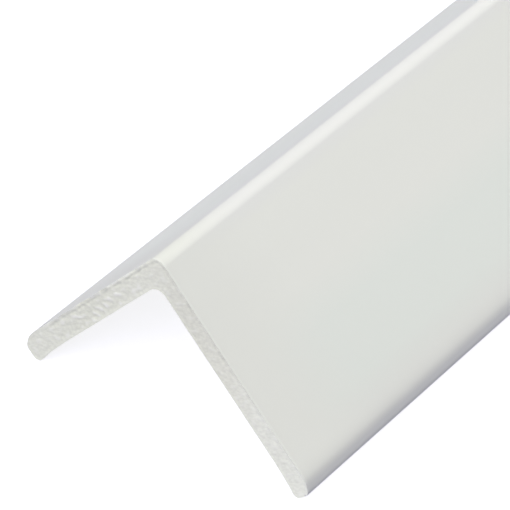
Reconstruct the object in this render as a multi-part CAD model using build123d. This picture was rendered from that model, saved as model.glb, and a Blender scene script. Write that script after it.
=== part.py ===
"""Angle trim: an equal-legged corner moulding of rigid PVC, extruded in one piece and sawn to length.

It stands on its two toes with the corner on top, as a roof does. X runs across it, Y along it and
Z up. The origin is on the floor, under the corner, at the middle of the length.
"""
import os
from math import cos, radians, sin, tan

from build123d import *

# The section, in millimetres and degrees
leg = 25.0                # reach of each leg, from the sharp outer corner to the end of its toe
wall = 2.3                # thickness of both legs
corner_angle = 90.0       # between the two legs
corner_radius = 1.3       # outside, where the legs meet
fillet_radius = 1.3       # inside, where the legs meet
bend_radius = 8.0         # outer face of a toe, where it starts to turn in
bend_angle = 6.0          # how far it turns there, and the end face of the toe with it
toe_radius = 2.1          # round of the outer face after that
toe_angle = 30.0          # how far the outer face has turned at the end of the round
toe_flat = 0.4            # flat stretch between that round and the outer edge of the toe
outer_edge = 0.75         # round on the outer edge of a toe
inner_edge = 0.55         # round on the inner edge of a toe
inner_radius = 22.0       # inner face of a toe, which also turns in, so that it hugs the wall
inner_angle = 9.0         # how far it turns
inner_clearance = 0.2584  # kept along the leg between that turn and the round of the inner edge

# The stock
length = 1000.0           # from the foremost point of the sawn end to the square end
saw_slant = 3.4           # how far the sawn end is out of square, across the right leg

half_angle = radians(corner_angle / 2)
left_along = Vector(-sin(half_angle), 0, -cos(half_angle))
right_along = Vector(sin(half_angle), 0, -cos(half_angle))


def outer_flat():
    """Straight stretch of a leg's outer face, such that its toe ends at the leg's full reach."""
    bend, turned = radians(bend_angle), radians(toe_angle)
    rounds = bend_radius * sin(bend) + toe_radius * (sin(turned) - sin(bend)) + outer_edge * (1 - sin(turned))
    return leg - rounds - toe_flat * cos(turned)


def inner_flat():
    """Where a leg's inner face starts to turn in, such that the turn ends short of the inner edge's round."""
    return leg - inner_edge - inner_clearance - inner_radius * sin(radians(inner_angle))


def meeting(point, direction, other_point, other_direction):
    """Where a line from a point meets a line from another point."""
    gap = other_point - point
    share = gap.cross(other_direction).Z / direction.cross(other_direction).Z
    return point + direction * share


def make_leg():
    """Face of the right leg laid along X, with its outer face on the X axis and its toe turned down."""
    outer_face = Line((0, 0), (outer_flat(), 0))
    outer_bend = JernArc(outer_face @ 1, (1, 0), bend_radius, -bend_angle)
    toe_round = JernArc(outer_bend @ 1, outer_bend % 1, toe_radius, bend_angle - toe_angle)
    flat = Line(toe_round @ 1, toe_round @ 1 + (toe_round % 1) * toe_flat)
    edge_round = JernArc(flat @ 1, flat % 1, outer_edge, toe_angle - bend_angle - 90)
    inner_face = Line((wall / tan(half_angle), -wall), (inner_flat(), -wall))
    inner_bend = JernArc(inner_face @ 1, (1, 0), inner_radius, -inner_angle)
    inner_tip = meeting(edge_round @ 1, edge_round % 1, inner_bend @ 1, inner_bend % 1)
    face = make_face([outer_face, outer_bend, toe_round, flat, edge_round, Line(edge_round @ 1, inner_tip),
                      Line(inner_tip, inner_bend @ 1), inner_bend, inner_face, Line(outer_face @ 0, inner_face @ 0)])
    return fillet(face.vertices().sort_by_distance(inner_tip)[0], inner_edge)


def make_section():
    """Section of the trim in the upright plane across it, with the sharp outer corner at the origin."""
    right_leg = Rot(0, 0, corner_angle / 2 - 90) * make_leg()
    section = right_leg + mirror(right_leg, Plane.YZ)
    inner_corner = (0, -wall / sin(half_angle))
    section = fillet(section.vertices().sort_by_distance((0, 0))[0], corner_radius)
    section = fillet(section.vertices().sort_by_distance(inner_corner)[0], fillet_radius)
    return Plane.XZ * section


def saw_plane():
    """Plane of the sawn end. It holds the left leg's line and leans back from the right leg's toe."""
    foremost = right_along * leg - Vector(0, length / 2, 0)
    up_the_leg = Vector(0, sin(radians(saw_slant)), 0) - right_along * cos(radians(saw_slant))
    return Plane(origin=foremost, x_dir=left_along, z_dir=left_along.cross(up_the_leg))


def make_trim():
    """The whole length of trim, standing on the floor."""
    section = make_section()
    stock = extrude(Pos(0, -length / 2, 0) * section, amount=length, dir=(0, 1, 0))
    stock = split(stock, bisect_by=saw_plane(), keep=Keep.TOP)
    return Pos(0, 0, -stock.bounding_box().min.Z) * stock


os.makedirs("parts", exist_ok=True)
trim = make_trim()
trim.label = "angle_trim"
export_step(trim, "parts/angle_trim.step")
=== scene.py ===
# %% [markdown]
# # A length of white PVC angle trim
#
# The trim is one extrusion of rigid PVC: two legs at a right angle, a rounded outside corner, and toes
# that turn in a little. It stands on its toes like a roof, and its near end is freshly sawn.
# This lesson dresses the plain CAD solid. It gives the trim smooth rounds, a rough sawn end, and the
# finishes of extruded and cut plastic, and then lights and frames it.

# %% Load the frame
import math

import bpy
import numpy as np
from mathutils import Matrix, Vector, geometry, noise


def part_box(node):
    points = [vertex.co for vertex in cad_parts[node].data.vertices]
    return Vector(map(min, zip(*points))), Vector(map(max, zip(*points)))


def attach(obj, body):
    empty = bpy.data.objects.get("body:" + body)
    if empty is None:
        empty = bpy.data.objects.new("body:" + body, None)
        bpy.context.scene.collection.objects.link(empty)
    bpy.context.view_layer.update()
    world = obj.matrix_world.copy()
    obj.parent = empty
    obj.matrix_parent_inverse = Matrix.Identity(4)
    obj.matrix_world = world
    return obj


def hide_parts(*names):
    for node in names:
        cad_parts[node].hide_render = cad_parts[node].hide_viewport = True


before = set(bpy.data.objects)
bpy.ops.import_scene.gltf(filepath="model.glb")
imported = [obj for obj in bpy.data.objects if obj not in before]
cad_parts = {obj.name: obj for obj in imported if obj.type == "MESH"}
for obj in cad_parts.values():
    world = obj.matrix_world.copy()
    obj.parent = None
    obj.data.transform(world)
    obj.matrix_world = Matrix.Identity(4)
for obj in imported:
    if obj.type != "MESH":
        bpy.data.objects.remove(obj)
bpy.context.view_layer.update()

low_corner, high_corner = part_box("angle_trim")
near_y, far_y = low_corner.y, high_corner.y
print("nodes", sorted(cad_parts), "size in m", [round(v, 5) for v in high_corner - low_corner])

# %% [markdown]
# ## The section
#
# An extrusion is all section. The die decides every surface that runs along it, so the section is
# drawn once, with real sizes, and then swept. It could be a curve with a bevel profile, but a mesh gives
# control of the point spacing, and the sawn end needs close points on its rim. The outline is built for
# one leg, as pairs of a distance along the leg and a depth behind its outer face, and then mirrored.

# %% Sizes of the section
mm = 0.001
leg = 25.0 * mm                 # reach of each leg, from the sharp outer corner to the end of its toe
wall = 2.3 * mm
corner_radius = 1.3 * mm        # outside, where the legs meet
fillet_radius = 1.3 * mm        # inside, where the legs meet
bend_radius, bend_angle = 8.0 * mm, math.radians(6.0)     # outer face, where a toe starts to turn in
toe_radius, toe_angle = 2.1 * mm, math.radians(30.0)      # round after that, and how far it turns
toe_flat = 0.4 * mm             # flat stretch between that round and the outer edge of the toe
outer_edge, inner_edge = 0.75 * mm, 0.55 * mm             # rounds on the two edges of a toe
inner_flat = 20.75 * mm         # how far down the leg the inner face stays flat
inner_radius, inner_angle = 22.0 * mm, math.radians(9.0)  # inner face, where it turns in after that
point_spacing = 0.1 * mm

half_right_angle = math.radians(45.0)
corner_z = high_corner.z + corner_radius * (1 / math.sin(half_right_angle) - 1)
print("sharp outer corner at", round(corner_z / mm, 3), "mm above the floor")


# %% Lines and arcs as evenly spaced points
def spaced(length, at_least):
    """Shares from 0 up to, but not including, 1, for points at the usual spacing."""
    count = max(at_least, math.ceil(length / point_spacing))
    return np.arange(count) / count


def line(start, end):
    """Points from start up to, but not including, end."""
    start, end = np.array(start), np.array(end)
    return [tuple(start + (end - start) * s) for s in spaced(np.linalg.norm(end - start), 1)]


def arc(centre, radius, start, end):
    """Points round a centre, for an outward direction that turns from start to end, in radians.

    The direction is 0 where it points out of the leg's outer face and a right angle where it points
    along the leg.
    """
    turns = start + (end - start) * spaced(abs(end - start) * radius, 3)
    return [(centre[0] + radius * math.sin(turn), centre[1] - radius * math.cos(turn)) for turn in turns]


def heading(turn):
    """The way that the outline runs where its outward direction has turned this far."""
    return np.array([math.cos(turn), math.sin(turn)])


def behind(point, radius, turn):
    """Centre of a round that passes through a point where the outward direction has turned this far."""
    return np.array(point) + radius * heading(turn + math.pi / 2)


# %% Outline of one leg
def leg_outline():
    """One leg from the crest of the outer corner, round its toe, to the crest of the inner fillet."""
    quarter = math.pi / 2
    turned_in = bend_radius * math.sin(bend_angle)
    turned_in += toe_radius * (math.sin(toe_angle) - math.sin(bend_angle))
    flat = leg - turned_in - toe_flat * math.cos(toe_angle) - outer_edge * (1 - math.sin(toe_angle))
    bend_centre = behind((flat, 0.0), bend_radius, 0.0)
    round_centre = behind(bend_centre, toe_radius - bend_radius, bend_angle)
    flat_start = round_centre - toe_radius * heading(toe_angle + quarter)
    flat_end = flat_start + toe_flat * heading(toe_angle)
    edge_centre = behind(flat_end, outer_edge, toe_angle)
    end_turn, inner_turn = bend_angle + quarter, inner_angle + 2 * quarter
    end_start = edge_centre - outer_edge * heading(end_turn + quarter)
    inner_centre = behind((inner_flat, wall), inner_radius, 0.0)
    inner_end = inner_centre - inner_radius * heading(inner_angle + quarter)
    sides = np.column_stack([heading(end_turn), heading(inner_turn)])
    inner_tip = end_start + np.linalg.solve(sides, inner_end - end_start)[0] * heading(end_turn)
    cut = inner_edge * math.tan((inner_turn - end_turn) / 2)
    end_finish = inner_tip - cut * heading(end_turn)
    inner_start = inner_tip + cut * heading(inner_turn)

    points = arc((corner_radius, corner_radius), corner_radius, -half_right_angle, 0.0)
    points += line((corner_radius, 0.0), (flat, 0.0))
    points += arc(bend_centre, bend_radius, 0.0, bend_angle)
    points += arc(round_centre, toe_radius, bend_angle, toe_angle)
    points += line(flat_start, flat_end)
    points += arc(edge_centre, outer_edge, toe_angle, end_turn)
    points += line(end_start, end_finish)
    points += arc(behind(end_finish, inner_edge, end_turn), inner_edge, end_turn, inner_turn)
    points += line(inner_start, inner_end)
    points += arc(inner_centre, inner_radius, inner_angle, 0.0)
    points += line((inner_flat, wall), (wall + fillet_radius, wall))
    fillet_centre = np.array([wall + fillet_radius, wall + fillet_radius])
    points += arc(fillet_centre, fillet_radius, 0.0, -half_right_angle)
    return points + [tuple(fillet_centre - fillet_radius * heading(quarter - half_right_angle))]


def to_section(along, deep):
    """Place across (x) and height (z) of a point of the right leg."""
    x = along * math.sin(half_right_angle) - deep * math.cos(half_right_angle)
    z = corner_z - along * math.cos(half_right_angle) - deep * math.sin(half_right_angle)
    return x, z


right = [to_section(*p) for p in leg_outline()]
left = [(-x, z) for x, z in right[-2:0:-1]]
outline = np.array(right + left)
print(len(outline), "points; lowest", round(outline[:, 1].min() / mm, 4), "mm; half width",
      round(outline[:, 0].max() / mm, 3), "mm; half width of the solid", round(high_corner.x / mm, 3), "mm")

# %% [markdown]
# ## The saw cut
#
# A hand saw rarely runs square. Here the cut holds the line of the left leg, and leans back from the
# right leg's toe. So a point's place along the stock follows from how far down the right leg it lies.
# The cut could be a boolean with a big block, but moving each point of the first ring onto the plane
# keeps the clean rings of the sweep.

# %% Where the saw plane lies
saw_slant = math.radians(3.4)


def down_right_leg(x, z):
    """Distance of a section point from the corner, measured down the right leg."""
    return x * math.sin(half_right_angle) + (corner_z - z) * math.cos(half_right_angle)


def saw_y(x, z):
    """Place along the stock where the saw passed a point of the section, or each of many points."""
    return near_y + (leg - down_right_leg(x, z)) * math.tan(saw_slant)


print("the cut runs back by", round((saw_y(0.0, corner_z) - near_y) / mm, 2), "mm at the corner")

# %% [markdown]
# ## The rough end face
#
# Sawn PVC isn't smooth. The teeth leave short scallops, the plastic smears into pale flecks, and the rim
# breaks into a bright bevel with a groove just inside it. A bump map would give the flecks, but not the
# bevel and the groove, which catch the light and cast shadows. So the face is a real mesh: points
# scattered inside the outline, joined into triangles, and pushed back into the stock.

# %% Points inside the outline
face_spacing = 0.09 * mm
row_share = 0.87            # of the spacing lies between the rows of a triangular grid
jitter = 0.22               # how far a point strays, in shares of the spacing
rim_margin = 0.06 * mm      # kept free along the rim


def rim_distance(points):
    """Distance of each point to the outline, and the number of the nearest outline point."""
    nearest = np.full(len(points), np.inf)
    number = np.zeros(len(points), int)
    for k, (a, step) in enumerate(zip(outline, np.roll(outline, -1, axis=0) - outline)):
        share = np.clip(((points - a) @ step) / (step @ step), 0.0, 1.0)
        gap = np.linalg.norm(points - (a + share[:, None] * step), axis=1)
        closer = gap < nearest
        nearest[closer] = gap[closer]
        number[closer] = k
    return nearest, number


def inside_outline(points):
    """True for each point that the outline encloses, by counting crossings to one side."""
    inside = np.zeros(len(points), bool)
    for a, b in zip(outline, np.roll(outline, -1, axis=0)):
        if a[1] == b[1]:
            continue
        spans = (a[1] > points[:, 1]) != (b[1] > points[:, 1])
        reach = a[0] + (points[:, 1] - a[1]) * (b[0] - a[0]) / (b[1] - a[1])
        inside ^= spans & (points[:, 0] < reach)
    return inside


def scattered_points():
    """A jittered triangular grid over the section, kept a little inside its rim."""
    random = np.random.default_rng(7)
    low, high = outline.min(0), outline.max(0)
    rows = np.arange(low[1], high[1], face_spacing * row_share)
    grid = []
    for number, z in enumerate(rows):
        xs = np.arange(low[0] + (number % 2) * face_spacing / 2, high[0], face_spacing)
        grid.append(np.column_stack([xs, np.full(len(xs), z)]))
    grid = np.concatenate(grid)
    grid += random.uniform(-jitter, jitter, grid.shape) * face_spacing
    grid = grid[inside_outline(grid)]
    return grid[rim_distance(grid)[0] > rim_margin]


inner_points = scattered_points()
inner_gap, nearest_rim = rim_distance(inner_points)
print(len(inner_points), "points inside the outline")

# %% Triangles between the rim and the points
rim_count = len(outline)
keep_inside = 1             # the triangulation's choice to drop what lies outside the outline
same_point = 1e-6           # points nearer than this, in millimetres, would be joined


def triangles_between(points):
    """Triangles that fill the outline and use these points, of which the outline's come first."""
    flat_points = [Vector(p) / mm for p in points]
    rim = [list(range(rim_count))]
    result = geometry.delaunay_2d_cdt(flat_points, [], rim, keep_inside, same_point)
    assert len(result[0]) == len(flat_points)
    return [tuple(f) for f in result[2]]


sawn_triangles = triangles_between(np.concatenate([outline, inner_points]))
square_triangles = triangles_between(outline)
print(len(sawn_triangles), "triangles on the sawn end and", len(square_triangles), "on the square end")

# %% [markdown]
# ## Bevel and groove of the rim
#
# The saw crumbles the rim. Along the left leg's outer edge it left a bevel a fifth of a millimetre wide
# and a groove just inside it. On the right leg there is hardly a bevel, only a shallow groove that runs
# out before the toe, and on the inner edges a trace. Short tables hold these shares across the trim. A
# slow and a quick noise make them come and go, because a torn rim is never even, and there is a nick at
# the right toe where a flake broke off. The inner edges, where the teeth left the plastic, have a torn
# lip that stands out into the hollow by up to a seventh of a millimetre, most at the left toe.

# %% Noise and tables round the rim
def noise_at(x, z, seed, size_x, size_z):
    """Noise from about -1 to 1 at a point of the section, in blotches of these sizes."""
    return noise.noise(Vector((x / size_x, z / size_z, seed)))


def rim_noise(size, seed):
    """One value of noise for each point of the rim."""
    return np.array([noise_at(x, z, seed, size, size) for x, z in outline])


def rim_table(places, shares):
    """A table read off at each point of the rim, from its place across the trim in millimetres."""
    return np.interp(outline[:, 0] / mm, places, shares)


def smoothed(values, reach):
    """Values round the rim, averaged with this many neighbours on each side."""
    return sum(np.roll(values, k) for k in range(-reach, reach + 1)) / (2 * reach + 1)


slow_size, quick_size = 2.2 * mm, 0.5 * mm
usual_share, slow_swing, quick_swing = 0.7, 1.3, 1.1
least_share, most_share = 0.05, 1.5
neighbours = 2


def broken_up(table, seed):
    """One value for each point of the rim, made to come and go by a slow and a quick noise."""
    share = usual_share + slow_swing * rim_noise(slow_size, seed)
    share += quick_swing * rim_noise(quick_size, seed + 2)
    return smoothed(table * np.clip(share, least_share, most_share), neighbours)


print("each place on the rim keeps", least_share, "to", most_share, "of its share")

# %% How strongly the outer edges are broken
bevel_width, bevel_depth = 0.22 * mm, 0.13 * mm
places = [-17.0, -15.0, -13.0, -1.0, 1.5, 8.0, 12.0, 14.5, 15.7, 17.0]
bevel_shares = [0.15, 0.3, 1.0, 1.0, 0.2, 0.03, 0.03, 0.05, 0.05, 0.05]
groove_shares = [0.0, 0.3, 1.0, 1.0, 0.6, 0.6, 0.4, 0.1, 0.0, 0.0]
burr_shares = [0.2, 0.3, 0.9, 0.9, 0.3, 0.0, 0.0, 0.1, 1.0, 0.9]
tear_shares = [1.0, 1.0, 1.0, 1.0, 0.25, 0.25, 0.7, 1.0, 1.0, 1.0]
inner_rim_share = 0.12
outer_rim_depth = 0.45 * wall       # rim points nearer than this to the outer face count as outer

# How far each rim point lies behind its leg's outer face
deep = (corner_z - outline[:, 1] - abs(outline[:, 0])) * math.cos(half_right_angle)


def outer_rim(shares, seed):
    """A table's shares on the outer rim and a trace on the inner one, broken up by noise."""
    return broken_up(np.where(deep < outer_rim_depth, rim_table(places, shares), inner_rim_share), seed)


bevel = outer_rim(bevel_shares, 3.0)
groove = outer_rim(groove_shares, 13.0)
burr = outer_rim(burr_shares, 23.0)
print("bevel from", round(bevel.min() * bevel_depth / mm, 3), "to",
      round(bevel.max() * bevel_depth / mm, 3), "mm deep")

# %% The torn lip and the nick
lip_places = [-17.0, -16.2, -13.5, -11.0, 2.0, 17.0]
lip_reaches = [0.0, 0.15, 0.13, 0.06, 0.03, 0.02]
inner_rim_depth = 0.8 * wall        # rim points further than this from the outer face count as inner
lip_evenness = 0.65                 # share of the lip that the noise leaves alone
lip_free_height = 0.6 * mm          # below this the lip fades, because the toe stands on the floor
nick_place = (16.75 * mm, 0.68 * mm)
nick_radius, nick_depth = 0.11 * mm, 0.22 * mm

lip = np.where(deep > inner_rim_depth, rim_table(lip_places, lip_reaches), 0.0) * mm
lip = lip_evenness * smoothed(lip, neighbours) + (1 - lip_evenness) * broken_up(lip, 33.0)
lip *= np.clip(outline[:, 1] / lip_free_height, 0.0, 1.0)
nick_gap = np.linalg.norm(outline - nick_place, axis=1)
nick = np.exp(-(nick_gap / nick_radius) ** 2)
print("lip up to", round(lip.max() / mm, 3), "mm; nick misses the rim by",
      round(nick_gap.min() / mm, 3), "mm")

# %% [markdown]
# ## Relief of the cut
#
# The saw's strokes rise by about a quarter of a right angle towards the right leg, on both legs alike.
# The noise is turned to that direction and stretched along it. The strokes are deepest on the left
# leg, near the corner, and a finer noise breaks them up. Everything is pushed into the stock, never out
# of it, so the trim keeps its length. PVC turns pale where it is stressed. So each point also gets a
# paleness, which the finish uses later: it is high on the crests of the scallops and on the burr of the
# rim, and below zero in the groove, where the finish darkens the colour as painted shade.

# %% Depth of the cut face behind the saw plane
saw_tilt = math.radians(25.0)
scallop_length, scallop_width, scallop_depth = 0.90 * mm, 0.46 * mm, 0.12 * mm
fleck_length, fleck_width, fleck_depth = 0.42 * mm, 0.24 * mm, 0.04 * mm
roughest_x, rough_reach, least_rough = -7.5 * mm, 5.5 * mm, 0.35
groove_place, groove_width, groove_depth = 0.32 * mm, 0.16 * mm, 0.045 * mm
groove_wander, wander_size = 0.4, 1.2 * mm
scallop_paleness, fleck_paleness, crest_start = 2.2, 0.8, 0.25
stressed_width = 1.3 * bevel_width


def strokes_at(x, z):
    """Noise of the scallops and of the flecks, turned to the way that the saw ran."""
    stroke = x * math.cos(saw_tilt) + z * math.sin(saw_tilt)
    across = z * math.cos(saw_tilt) - x * math.sin(saw_tilt)
    scallop = noise_at(stroke, across, 0.0, scallop_length, scallop_width)
    return scallop, noise_at(stroke, across, 9.0, fleck_length, fleck_width)


def saw_relief(x, z, gap, k):
    """Depth behind the saw plane, and paleness, of a point whose nearest rim point has number k."""
    scallop, fleck = strokes_at(x, z)
    strength = least_rough + (1 - least_rough) * math.exp(-((x - roughest_x) / rough_reach) ** 2)
    rough = scallop_depth * strength * (0.5 + 0.5 * scallop) + fleck_depth * (0.5 + 0.5 * fleck)
    fade = min(1.0, gap / groove_place)
    bevelled = bevel_depth * bevel[k] * max(0.0, 1.0 - gap / bevel_width)
    wander = groove_place * (1 + groove_wander * noise_at(x, z, 31.0, wander_size, wander_size))
    grooved = groove[k] * math.exp(-((gap - wander) / groove_width) ** 2)
    chipped = nick_depth * nick[k] * math.exp(-(gap / nick_radius) ** 2)
    crest = max(0.0, -scallop_paleness * scallop - fleck_paleness * fleck - crest_start)
    crest = min(1.0, crest) * strength * fade
    stressed = min(1.0, burr[k]) * max(0.0, 1.0 - (gap / stressed_width) ** 2)
    depth = bevelled + groove_depth * grooved + fade * rough + chipped
    # Paleness is taken below zero in the groove, so that the finish darkens it there: painted shade.
    return depth, max(crest, stressed) - min(1.0, grooved)


relief, paleness_and_groove_shade = np.array([saw_relief(x, z, gap, k)
                             for (x, z), gap, k in zip(inner_points, inner_gap, nearest_rim)]).T
rim_relief = bevel_depth * bevel + nick_depth * nick
print("relief of the cut from", round(relief.min() / mm, 3), "to", round(relief.max() / mm, 3), "mm")

# %% [markdown]
# ## The sweep
#
# The sides are rings of the outline, joined by quads. Long plain stretches need no rings, because they
# are flat along the length, so the rings crowd at the two ends: there the near rim wavers by a hair,
# as a torn edge does, and the far rim is broken cleanly. The square end is the factory's cut: its face
# is flat and gets its fine marks from its material.

# %% Which way is out of the section
outward = np.roll(outline, -1, axis=0) - np.roll(outline, 1, axis=0)
outward = np.column_stack([-outward[:, 1], outward[:, 0]])
outward /= np.linalg.norm(outward, axis=1)[:, None]
if not inside_outline(outline[:1] - outward[:1] * rim_margin)[0]:
    outward = -outward
print("outward at the crest", [round(v, 2) for v in outward[0]])

# %% Rings of the sweep
edge_break = 0.04 * mm                    # on the square end's rim
tear_depth, tear_size = 0.025 * mm, 0.3 * mm
lip_bend, lip_end = 0.06 * mm, 0.25 * mm  # how far behind the cut the lip has mostly and fully gone
lip_left = 0.4                            # share of the lip that is left at its bend


def placed(xz, y):
    """Points of the section, each put at its place along the stock."""
    return np.column_stack([xz[:, 0], np.broadcast_to(y, len(xz)), xz[:, 1]])


def shifted(distances):
    """The outline with each point moved out of the section by its own distance."""
    return outline + outward * distances[:, None]


tear = tear_depth * rim_table(places, tear_shares) * (1 + rim_noise(tear_size, 11.0)) / 2
nick_fall = nick * nick_radius / 2        # how far the rim falls in at the nick
first_y = saw_y(*outline.T) + rim_relief
rings = [
    placed(shifted(lip - tear - nick_fall), first_y),
    placed(shifted(lip_left * lip - nick_fall / 2), first_y + lip_bend),
    placed(outline, first_y + lip_end),
    placed(outline, near_y + leg),
    placed(outline, far_y - leg),
    placed(outline, far_y - 2 * edge_break),
    placed(outline - outward * edge_break / 2, far_y),
]
print(len(rings), "rings of", rim_count, "points")

# %% One mesh for the whole trim
SKIN, SAWN, SQUARE = 0, 1, 2
cut_points = placed(inner_points, saw_y(*inner_points.T) + relief)
vertices = np.concatenate(rings + [cut_points])
side_count = len(rings) * rim_count
last_ring = (len(rings) - 1) * rim_count
faces, slots = [], []
for number in range(len(rings) - 1):
    here, there = number * rim_count, (number + 1) * rim_count
    for k in range(rim_count):
        after = (k + 1) % rim_count
        faces.append((here + k, here + after, there + after, there + k))
        slots.append(SKIN)
for triangle in sawn_triangles:
    faces.append(tuple(k if k < rim_count else side_count + k - rim_count for k in triangle))
    slots.append(SAWN)
for triangle in square_triangles:
    faces.append(tuple(last_ring + k for k in reversed(triangle)))
    slots.append(SQUARE)

mesh = bpy.data.meshes.new("trim_length")
mesh.from_pydata([tuple(v) for v in vertices], [], faces)
mesh.polygons.foreach_set("material_index", slots)
mesh.polygons.foreach_set("use_smooth", [True] * len(faces))
rim_paleness = np.tile(np.minimum(1.0, burr), len(rings))
pale_layer = mesh.attributes.new("paleness_and_groove_shade", "FLOAT", "POINT")
pale_layer.data.foreach_set("value", np.concatenate([rim_paleness, paleness_and_groove_shade]))
trim = bpy.data.objects.new("trim_length", mesh)
bpy.context.scene.collection.objects.link(trim)
print(len(mesh.vertices), "vertices,", sum(len(f) - 2 for f in faces), "triangles")

# %% [markdown]
# ## Sharp ends, smooth sides
#
# The sides are smooth: flats run into rounds without an edge. The two cut rims are real edges, and so
# are marked sharp, or the shading would roll round them. The mesh stands for the one CAD solid and rides
# on its body.

# %% Mark the rims and hand the mesh to the frame
first_rim = set(range(rim_count))
last_rim = set(range(last_ring, last_ring + rim_count))
for edge in mesh.edges:
    ends = set(edge.vertices)
    edge.use_edge_sharp = ends <= first_rim or ends <= last_rim
mesh.validate()
mesh.update()
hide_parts("angle_trim")
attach(trim, "root")
print(sum(edge.use_edge_sharp for edge in mesh.edges), "sharp edges")

# %% [markdown]
# ## Node helpers
#
# Each finish below is a small tree of nodes. Trees are hard to read as code, so each step that the
# finishes share is a helper with a plain name: noise in the trim's own metres, stretched as a finish
# needs, a value that runs between two others, two colours blended, a place on the trim, a row of
# colours across it, and a bump.

# %% A new material, and joining its sockets
def new_material(name):
    """An empty node material with its output and a Principled shader joined to it."""
    material = bpy.data.materials.new(name)
    material.use_nodes = True
    tree = material.node_tree
    tree.nodes.clear()
    output = tree.nodes.new("ShaderNodeOutputMaterial")
    shader = tree.nodes.new("ShaderNodeBsdfPrincipled")
    tree.links.new(shader.outputs["BSDF"], output.inputs["Surface"])
    return material, tree, shader


def put(tree, socket, value):
    """Join a socket to another node's output, or set its value."""
    if isinstance(value, bpy.types.NodeSocket):
        tree.links.new(value, socket)
    else:
        socket.default_value = value


# %% Noise, and values that follow it
def stretched_noise(tree, sizes, detail=2.0, roughness=0.5, seed=0.0, tilt=0.0):
    """Noise whose blotches measure about these sizes in metres across, along and up the trim.

    A tilt turns the blotches in the plane of the section.
    """
    place = tree.nodes.new("ShaderNodeTexCoord")
    scale = tree.nodes.new("ShaderNodeMapping")
    scale.vector_type = "TEXTURE"
    scale.inputs["Scale"].default_value = sizes
    scale.inputs["Rotation"].default_value = (0.0, tilt, 0.0)
    scale.inputs["Location"].default_value = [seed * size for size in sizes]
    texture = tree.nodes.new("ShaderNodeTexNoise")
    texture.inputs["Scale"].default_value = 1.0
    texture.inputs["Detail"].default_value = detail
    texture.inputs["Roughness"].default_value = roughness
    tree.links.new(place.outputs["Object"], scale.inputs["Vector"])
    tree.links.new(scale.outputs["Vector"], texture.inputs["Vector"])
    return texture.outputs["Fac"]


def between(tree, factor, low, high, start=0.3, finish=0.7):
    """A value that runs from low to high as the factor runs from start to finish."""
    ramp = tree.nodes.new("ShaderNodeMapRange")
    put(tree, ramp.inputs["Value"], factor)
    for name, value in (("From Min", start), ("From Max", finish), ("To Min", low), ("To Max", high)):
        ramp.inputs[name].default_value = value
    return ramp.outputs["Result"]


def blend_colours(tree, factor, first, second):
    """The first colour where the factor is 0 and the second where it is 1."""
    mix = tree.nodes.new("ShaderNodeMix")
    mix.data_type = "RGBA"
    put(tree, mix.inputs[0], factor)
    put(tree, mix.inputs[6], first)
    put(tree, mix.inputs[7], second)
    return mix.outputs[2]


def product(tree, first, second):
    """Two values multiplied."""
    times = tree.nodes.new("ShaderNodeMath")
    times.operation = "MULTIPLY"
    put(tree, times.inputs[0], first)
    put(tree, times.inputs[1], second)
    return times.outputs[0]


# %% Places and colours on the trim
ACROSS, ALONG = 0, 1


def trim_place(tree, axis):
    """Where a point of the trim lies, across it or along it, in metres."""
    place = tree.nodes.new("ShaderNodeTexCoord")
    split = tree.nodes.new("ShaderNodeSeparateXYZ")
    tree.links.new(place.outputs["Object"], split.inputs[0])
    return split.outputs[axis]


def srgb(red, green, blue):
    """A colour read off as 0 to 255, turned into the linear values that a shader needs."""
    shares = [v / 255 for v in (red, green, blue)]
    return [s / 12.92 if s <= 0.04045 else ((s + 0.055) / 1.055) ** 2.4 for s in shares] + [1.0]


def across_the_trim(tree, stops):
    """Colours that blend across the trim, from pairs of a place in millimetres and a colour of 0 to 255."""
    low, high = stops[0][0] * mm, stops[-1][0] * mm
    ramp = tree.nodes.new("ShaderNodeValToRGB")
    put(tree, ramp.inputs[0], between(tree, trim_place(tree, ACROSS), 0.0, 1.0, start=low, finish=high))
    while len(ramp.color_ramp.elements) < len(stops):
        ramp.color_ramp.elements.new(0.5)
    for element, (x, colour) in zip(ramp.color_ramp.elements, stops):
        element.position = (x * mm - low) / (high - low)
        element.color = srgb(*colour)
    return ramp.outputs["Color"]


print("a grey of 128 reflects", round(srgb(128, 128, 128)[0], 3), "of the light")


# %% Bumps
def bumped(tree, height, distance, normal=None):
    """Normals tilted by a height that is this deep at its full value."""
    bump = tree.nodes.new("ShaderNodeBump")
    bump.inputs["Distance"].default_value = distance
    put(tree, bump.inputs["Height"], height)
    if normal is not None:
        put(tree, bump.inputs["Normal"], normal)
    return bump.outputs["Normal"]


# %% [markdown]
# ## The extruded skin
#
# Rigid PVC leaves the die semi-glossy, with a white that has a trace of grey-green. Across the trim the
# white changes in bands that are painted light: the corner is whiter and a little darker, a painted
# change to its highlight; high on the right flank it is lighter and warmer, painted light; past the
# middle of the right leg it is greener and darker, painted shade. Next to the cut it is darker and
# greyer, most on the left leg. Close up it has very shallow lines along its length, where the die
# drags, and a faint orange peel, and handling scuffs it in patches. A flat white would look like paper.
# So the colour follows the bands and drifts over hands' breadths, the roughness varies, and two bumps of
# a few micrometres break the gloss.

# %% Colour of the skin
pvc_ior = 1.53
black = (0.0, 0.0, 0.0, 1.0)
# Painted light in these bands: the corner's whiter, darker tone is a painted change to its highlight,
# the right flank's lighter upper part is painted light, and its greener, darker lower part painted shade.
# Each colour stands at a place in millimetres across the trim
painted_light_bands = [(-4, (242, 245, 240)), (0, (243, 243, 242)), (2, (246, 247, 241)), (7, (246, 247, 241)),
                (10, (241, 245, 239)), (14, (241, 245, 239)), (16, (240, 241, 236))]
# Darker and greyer from the cut to 4 mm behind it, fading out by 12 mm, most on the left leg.
near_cut_colours = [(-6, (235, 236, 231)), (0, (243, 244, 238))]
near_cut_start, near_cut_end = near_y + 4 * mm, near_y + 12 * mm
drift_size = (30 * mm, 110 * mm, 30 * mm)
drift_shade = 0.93            # what is left of the colour where it drifts most

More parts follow.
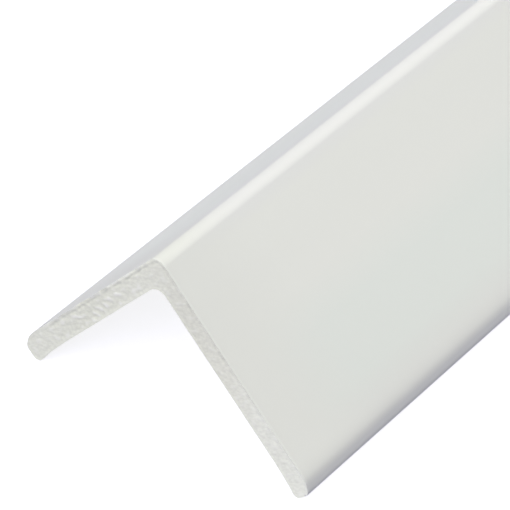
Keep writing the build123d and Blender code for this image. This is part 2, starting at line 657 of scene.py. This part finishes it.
skin, tree, shader = new_material("extruded_pvc_skin")
drift = stretched_noise(tree, drift_size, detail=1.0, seed=9.2)
away_from_cut = between(tree, trim_place(tree, ALONG), 0.0, 1.0, start=near_cut_start, finish=near_cut_end)
near_cut = across_the_trim(tree, near_cut_colours)
painted_light_tone = across_the_trim(tree, painted_light_bands)
toned = blend_colours(tree, away_from_cut, near_cut, painted_light_tone)
drifting = between(tree, drift, 1.0, drift_shade)
put(tree, shader.inputs["Base Color"], blend_colours(tree, drifting, black, toned))
print("dust from the saw ends", round((near_cut_end - near_y) / mm, 1), "mm behind the cut")

# %% Gloss and fine relief of the skin
die_line_size, die_line_depth = (1.1 * mm, 900 * mm, 1.1 * mm), 0.006 * mm
peel_size, peel_depth = (0.7 * mm, 0.9 * mm, 0.7 * mm), 0.0015 * mm
scuff_size = (6 * mm, 30 * mm, 6 * mm)
glossy, scuffed = 0.36, 0.46

die_lines = stretched_noise(tree, die_line_size, detail=3.0, roughness=0.6)
orange_peel = stretched_noise(tree, peel_size, detail=1.0)
scuffs = stretched_noise(tree, scuff_size, detail=4.0, roughness=0.7, seed=4.0)
put(tree, shader.inputs["Roughness"], between(tree, scuffs, glossy, scuffed, start=0.35, finish=0.75))
shader.inputs["IOR"].default_value = pvc_ior
lined = bumped(tree, die_lines, die_line_depth)
put(tree, shader.inputs["Normal"], bumped(tree, orange_peel, peel_depth, lined))
mesh.materials.append(skin)
print("skin", len(tree.nodes), "nodes")

# %% [markdown]
# ## The sawn and the square end
#
# Cut PVC loses its gloss. The saw leaves it matt and slightly yellow-grey, and pale where it stressed
# the plastic. A picture could give these tones, but it would have to be drawn for this one cut. The
# mesh already has the scallops and their paleness, so the material only adds what is finer: small dark
# flecks, painted shade in the groove, and a grainy bump. A ramp of colours across the trim makes the
# plastic paler towards the right toe. The factory's cut is finer still and shows only straight blade
# marks.

# %% How a cut face is finished
grain_share = 0.6             # size of the grain, as a share of the size of the flecks


def add_cut_finish(name, stops, pale, sizes, tilt, fleck_shade, groove_shade, roughness, depth):
    """Give the trim a matt cut plastic, coloured from side to side, with flecks of these sizes in metres.

    The shades are what is left of the colour in a dark fleck and in the groove, whose darker colour is
    painted shade. The depth is that of the grain's bump.
    """
    material, tree, shader = new_material(name)
    plain = across_the_trim(tree, stops)
    flecks = stretched_noise(tree, sizes, detail=2.0, roughness=0.6, seed=2.0, tilt=tilt)
    stressed = tree.nodes.new("ShaderNodeAttribute")
    stressed.attribute_name = "paleness_and_groove_shade"
    # Below zero, in the groove, the attribute darkens the colour: painted shade.
    darkening = between(tree, stressed.outputs["Fac"], groove_shade, 1.0, start=-1.0, finish=0.0)
    shade = product(tree, between(tree, flecks, fleck_shade, 1.0), darkening)
    shaded = blend_colours(tree, shade, black, plain)
    flecked = blend_colours(tree, stressed.outputs["Fac"], shaded, srgb(*pale))
    put(tree, shader.inputs["Base Color"], flecked)
    shader.inputs["Roughness"].default_value = roughness
    shader.inputs["IOR"].default_value = pvc_ior
    grain_sizes = [size * grain_share for size in sizes]
    grain = stretched_noise(tree, grain_sizes, detail=3.0, roughness=0.7, seed=6.0, tilt=tilt)
    put(tree, shader.inputs["Normal"], bumped(tree, grain, depth))
    print(name, len(tree.nodes), "nodes")
    mesh.materials.append(material)


# %% The two ends
sawn_colours = [(-15, (246, 247, 235)), (-9, (241, 242, 229)), (-2, (245, 246, 234)),
                (4, (239, 239, 227)), (8, (246, 246, 234)), (11.5, (252, 253, 242))]
add_cut_finish("sawn_pvc", sawn_colours, pale=(252, 252, 246),
               sizes=(0.42 * mm, 0.42 * mm, 0.25 * mm), tilt=-saw_tilt,
               fleck_shade=0.88, groove_shade=0.88, roughness=0.62, depth=0.02 * mm)
factory_colours = [(-18, (238, 239, 232)), (18, (240, 240, 234))]
add_cut_finish("factory_cut_pvc", factory_colours, pale=(240, 240, 235),
               sizes=(12 * mm, 12 * mm, 0.3 * mm), tilt=0.0,
               fleck_shade=0.95, groove_shade=1.0, roughness=0.5, depth=0.01 * mm)
print("materials", [m.name for m in mesh.materials])

# %% [markdown]
# ## Floor and surroundings
#
# The trim is shown on white, as in a catalogue. Raising the lamps until the floor clips would wash out
# a white object, so the floor is a pale grey that gets its white from Light Path: rays from the camera,
# and rays through gloss or glass, see a glow added to it, while the light that it bounces onto the trim
# stays plain. The shadow of the trim still darkens it. The left flank mirrors the floor at a grazing
# angle and looks a little darker and cooler than the right one, so the floor is slightly cool, and in
# gloss it shows its own colour more than the glow. The surroundings work the same way: they are white
# where they are seen, and give only a faint light otherwise.

# %% Which rays see the glow
def seen_directly(tree, shares):
    """The share given for each kind of ray that looks straight at a surface, and 0 for its own light."""
    path = tree.nodes.new("ShaderNodeLightPath")
    total = 0.0
    for kind, share in shares.items():
        step = tree.nodes.new("ShaderNodeMath")
        step.operation = "MULTIPLY_ADD"
        tree.links.new(path.outputs[kind], step.inputs[0])
        step.inputs[1].default_value = share
        put(tree, step.inputs[2], total)
        total = step.outputs[0]
    return total


# %% Floor
floor_size = 12.0
floor_drop = 0.02 * mm        # how far below the toes the floor lies, so that the faces don't coincide
floor_colour = (0.492, 0.487, 0.615, 1.0)
floor_glow = 0.87
glow_in_gloss = 0.03
white = (1.0, 1.0, 1.0, 1.0)

bpy.ops.mesh.primitive_plane_add(size=floor_size, location=(0.0, 0.0, -floor_drop))
floor = bpy.context.object
floor.name = "studio_floor"
floor_material, tree, shader = new_material("pale_floor")
shader.inputs["Base Color"].default_value = floor_colour
shader.inputs["Roughness"].default_value = 1.0
shader.inputs["Specular IOR Level"].default_value = 0.0
shader.inputs["Emission Color"].default_value = white
put(tree, shader.inputs["Emission Strength"], seen_directly(tree, {
    "Is Camera Ray": floor_glow, "Is Glossy Ray": glow_in_gloss, "Is Transmission Ray": floor_glow}))
floor.data.materials.append(floor_material)
print("floor", floor_size, "m")

# %% Surroundings
ambient = 0.06
ambient_colour = (0.97, 0.985, 1.0, 1.0)
world = bpy.data.worlds.new("studio_air")
bpy.context.scene.world = world
world.use_nodes = True
tree = world.node_tree
tree.nodes.clear()
lit = tree.nodes.new("ShaderNodeBackground")
lit.inputs["Color"].default_value = ambient_colour
lit.inputs["Strength"].default_value = ambient
seen = tree.nodes.new("ShaderNodeBackground")
seen.inputs["Color"].default_value = white
seen.inputs["Strength"].default_value = 1.0
choose = tree.nodes.new("ShaderNodeMixShader")
put(tree, choose.inputs[0], seen_directly(tree, {
    "Is Camera Ray": 1.0, "Is Glossy Ray": 1.0, "Is Transmission Ray": 1.0}))
tree.links.new(lit.outputs[0], choose.inputs[1])
tree.links.new(seen.outputs[0], choose.inputs[2])
world_output = tree.nodes.new("ShaderNodeOutputWorld")
tree.links.new(choose.outputs[0], world_output.inputs["Surface"])
print("ambient light", ambient)

# %% [markdown]
# ## Lamps
#
# Four wide suns stand for the soft boxes of a studio: a metre of trim is then lit evenly from end to
# end, which a lamp near one end couldn't do. The main one stands in front, halfway up, and lights the
# sawn end and the flank alike. The one high on the left brightens the corner's round, and because its
# light fades first where the surface turns away, the toe turns dark early, as it does in the
# photograph. Two weaker ones from behind lift the far side and the underside of the toe.

# %% Four wide, soft lamps
lamp_spread = math.radians(50.0)
lamp_colour = (1.0, 1.0, 0.98)


def direction(turn, height):
    """Unit vector at a turn from the back (+Y) towards the right, and a height above level, in radians."""
    level = math.cos(height)
    return Vector((math.sin(turn) * level, math.cos(turn) * level, math.sin(height)))


def soft_sun(name, share, turn, height):
    """A sun that stands at this turn and height in degrees.

    A share of 1 lights a white surface that faces it to white.
    """
    lamp = bpy.data.lights.new(name, "SUN")
    lamp.energy = share * math.pi
    lamp.angle = lamp_spread
    lamp.color = lamp_colour
    stand = direction(math.radians(turn), math.radians(height))
    holder = bpy.data.objects.new(name, lamp)
    holder.rotation_euler = (-stand).to_track_quat("-Z", "Y").to_euler()
    bpy.context.scene.collection.objects.link(holder)


soft_sun("front_light", 0.72, turn=180, height=50)
soft_sun("high_left_light", 0.17, turn=225, height=70)
soft_sun("back_right_light", 0.16, turn=45, height=50)
soft_sun("back_light", 0.12, turn=0, height=50)

# %% [markdown]
# ## Camera
#
# The photograph was taken with a long lens from close by, looking down along the flank. The camera is
# set as a photographer would describe it: the turn about the upright, the drop of the view, a slight
# roll, and where the corner of the sawn end stands in front of the lens.

# %% Where the camera looks from
view_turn = math.radians(39.91)
view_drop = math.radians(37.54)
view_roll = math.radians(3.03)
corner_right, corner_down, corner_ahead = -8.62 * mm, 0.05 * mm, 309.43 * mm

ahead = direction(-view_turn, -view_drop)
level_right = Vector((math.cos(view_turn), math.sin(view_turn), 0.0))
level_down = ahead.cross(level_right)
view_right = math.cos(view_roll) * level_right + math.sin(view_roll) * level_down
view_down = math.cos(view_roll) * level_down - math.sin(view_roll) * level_right
sawn_corner = Vector((0.0, saw_y(0.0, corner_z), corner_z))
stand = sawn_corner - corner_right * view_right - corner_down * view_down - corner_ahead * ahead
print("camera at", [round(v, 4) for v in stand])

# %% Camera
focal_length, film_width = 248.7, 36.0
nearest_seen = 10 * mm

lens = bpy.data.cameras.new("camera")
lens.sensor_width = film_width
lens.lens = focal_length
lens.clip_start = nearest_seen
camera = bpy.data.objects.new("camera", lens)
axes = Matrix((view_right, -view_down, -ahead)).transposed()
camera.matrix_world = Matrix.Translation(stand) @ axes.to_4x4()
bpy.context.scene.collection.objects.link(camera)
bpy.context.scene.camera = camera
print("lens", focal_length, "mm on", film_width, "mm")

# %% [markdown]
# ## Colour
#
# The Standard view shows colours about as they are written.

# %% View
bpy.context.scene.view_settings.view_transform = "Standard"
